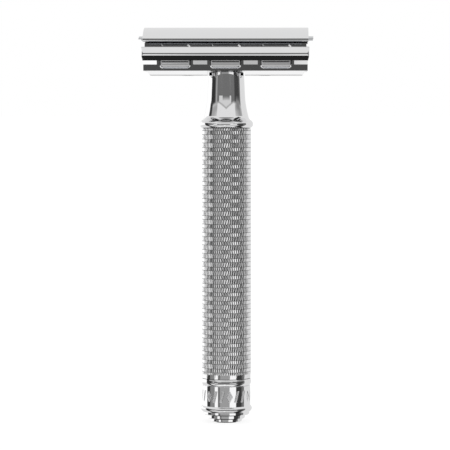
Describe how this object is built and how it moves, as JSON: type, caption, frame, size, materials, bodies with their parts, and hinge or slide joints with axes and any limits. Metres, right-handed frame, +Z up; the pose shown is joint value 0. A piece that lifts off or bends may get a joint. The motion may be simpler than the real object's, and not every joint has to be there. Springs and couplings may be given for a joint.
{
  "type": "safety razor",
  "caption": "Chromed double-edge safety razor: domed cap and closed-comb plate clamp a bent blade, held by a stud screwed into a flared neck on a patterned round handle.",
  "frame": {"origin": "centre of the handle's foot, where the razor stands", "axes": "+Z up the handle to the head, X along the blade's cutting edges, Y across the head from one edge to the other"},
  "size_m": [0.043, 0.0248, 0.098],
  "materials": {
    "polished_chrome": "bright chrome plate over turned brass",
    "band_chrome": "bright chrome plate with a ring of plain etched marks",
    "grip_chrome": "bright chrome plate over an engine-turned grip pattern",
    "head_chrome": "bright chrome plate over a die casting",
    "blade_steel": "ground stainless strip",
    "bare_brass": "machined brass",
    "seal_rubber": "matt rubber"
  },
  "bodies": {
    "handle": {"foot_nut": "polished_chrome", "lower_base_ring": "polished_chrome", "base_band": "band_chrome", "upper_base_ring": "polished_chrome", "base_seal": "seal_rubber", "barrel": "grip_chrome", "tie_rod": "bare_brass", "neck_seal": "seal_rubber", "neck": "polished_chrome", "thread_bush": "bare_brass"},
    "plate": {"base_plate": "head_chrome"},
    "blade": {"blade": "blade_steel"},
    "cap": {"cap": "head_chrome", "cap_stud": "bare_brass", "locating_post_left": "head_chrome", "locating_post_right": "head_chrome"}
  },
  "joints": [
    {"name": "head_turn", "type": "hinge", "parent": "handle", "child": "plate", "pos_m": [0, 0, 0.0872], "axis": [0, 0, 1], "range_deg": [0, 2520]},
    {"name": "cap_lift", "type": "slide", "parent": "plate", "child": "cap", "axis": [0, 0, 1], "range_m": [0, 0.0056]},
    {"name": "blade_lift", "type": "slide", "parent": "plate", "child": "blade", "axis": [0, 0, 1], "range_m": [0, 0.0028]}
  ],
  "couplings": [
    {"joint": "cap_lift", "follows": "head_turn", "m_per_rad": 0.00012732},
    {"joint": "blade_lift", "follows": "head_turn", "m_per_rad": 0.00006366}
  ]
}
